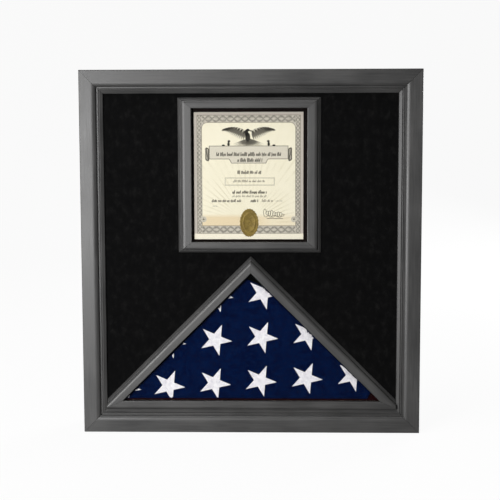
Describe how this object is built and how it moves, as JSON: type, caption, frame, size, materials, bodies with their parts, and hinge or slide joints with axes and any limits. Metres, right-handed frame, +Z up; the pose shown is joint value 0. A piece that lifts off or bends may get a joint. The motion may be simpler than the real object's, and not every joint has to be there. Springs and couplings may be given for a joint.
{
  "type": "folded flag display case",
  "caption": "Black wooden wall case with a velvet board, a framed document above and a triangular window over a folded flag.",
  "frame": {"origin": "middle of the underside of the case, where it would stand on a shelf", "axes": "+X to the viewer's right, +Y from the glazed front towards the wall, +Z up"},
  "size_m": [0.568, 0.0953, 0.61],
  "materials": {
    "black_wood": "satin black paint on wood",
    "board": "black hardboard",
    "velvet": "black velvet",
    "glass": "clear, low reflection",
    "paper": "matt cream parchment paper",
    "gold_foil": "embossed gold foil",
    "plywood": "bare plywood",
    "flag_cloth": "woven cotton, navy with white stars",
    "felt": "black felt over foam",
    "steel": "zinc plated",
    "rubber": "matt"
  },
  "bodies": {
    "case": {"frame_rail_bottom": "black_wood", "frame_rail_top": "black_wood", "frame_stile_left": "black_wood", "frame_stile_right": "black_wood", "box_side_bottom": "black_wood", "box_side_top": "black_wood", "box_side_left": "black_wood", "box_side_right": "black_wood", "document_rail_bottom": "black_wood", "document_rail_top": "black_wood", "document_stile_left": "black_wood", "document_stile_right": "black_wood", "flag_rail_left": "black_wood", "flag_rail_right": "black_wood", "flag_rail_base": "black_wood", "mat_board": "board", "document_mat": "board", "document_backing": "board", "velvet_cover": "velvet", "document_glass": "glass", "flag_glass": "glass", "certificate": "paper", "gold_seal": "gold_foil", "flag_shelf": "plywood", "flag_wall_left": "plywood", "flag_wall_right": "plywood", "folded_flag": "flag_cloth", "turn_button_screw_1": "steel", "turn_button_screw_2": "steel", "turn_button_screw_3": "steel", "turn_button_screw_4": "steel", "turn_button_screw_5": "steel", "turn_button_screw_6": "steel", "hanger_screw_left_1": "steel", "hanger_screw_left_2": "steel", "hanger_screw_right_1": "steel", "hanger_screw_right_2": "steel", "hanger_plate_left": "steel", "hanger_plate_right": "steel", "document_tab_1": "steel", "document_tab_2": "steel", "document_tab_3": "steel", "document_tab_4": "steel", "wall_bumper_1": "rubber", "wall_bumper_2": "rubber", "wall_bumper_3": "rubber", "wall_bumper_4": "rubber"},
    "panel": {"back_panel": "board", "flag_pad": "felt"},
    "ring_left": {"hanger_ring_left": "steel"},
    "ring_right": {"hanger_ring_right": "steel"},
    "button_1": {"turn_button_1": "steel"},
    "button_2": {"turn_button_2": "steel"},
    "button_3": {"turn_button_3": "steel"},
    "button_4": {"turn_button_4": "steel"},
    "button_5": {"turn_button_5": "steel"},
    "button_6": {"turn_button_6": "steel"}
  },
  "joints": [
    {"name": "back_panel_slide", "type": "slide", "parent": "case", "child": "panel", "axis": [0, 1, 0], "range_m": [0, 0.15]},
    {"name": "turn_button_1_pivot", "type": "hinge", "parent": "case", "child": "button_1", "pos_m": [-0.2775, 0.0453, 0.1708], "axis": [0, 1, 0], "range_deg": [0, 90]},
    {"name": "turn_button_2_pivot", "type": "hinge", "parent": "case", "child": "button_2", "pos_m": [-0.2775, 0.0453, 0.4026], "axis": [0, 1, 0], "range_deg": [0, 90]},
    {"name": "turn_button_3_pivot", "type": "hinge", "parent": "case", "child": "button_3", "pos_m": [0.2775, 0.0453, 0.1708], "axis": [0, -1, 0], "range_deg": [0, 90]},
    {"name": "turn_button_4_pivot", "type": "hinge", "parent": "case", "child": "button_4", "pos_m": [0.2775, 0.0453, 0.4026], "axis": [0, -1, 0], "range_deg": [0, 90]},
    {"name": "turn_button_5_pivot", "type": "hinge", "parent": "case", "child": "button_5", "pos_m": [0, 0.0453, 0.6035], "axis": [0, 1, 0], "range_deg": [0, 90]},
    {"name": "turn_button_6_pivot", "type": "hinge", "parent": "case", "child": "button_6", "pos_m": [0, 0.0453, 0.0065], "axis": [0, -1, 0], "range_deg": [0, 90]},
    {"name": "hanger_ring_left_pivot", "type": "hinge", "parent": "case", "child": "ring_left", "pos_m": [-0.2776, 0.04765, 0.515], "axis": [1, 0, 0], "range_deg": [0, 150]},
    {"name": "hanger_ring_right_pivot", "type": "hinge", "parent": "case", "child": "ring_right", "pos_m": [0.2776, 0.04765, 0.515], "axis": [1, 0, 0], "range_deg": [0, 150]}
  ]
}
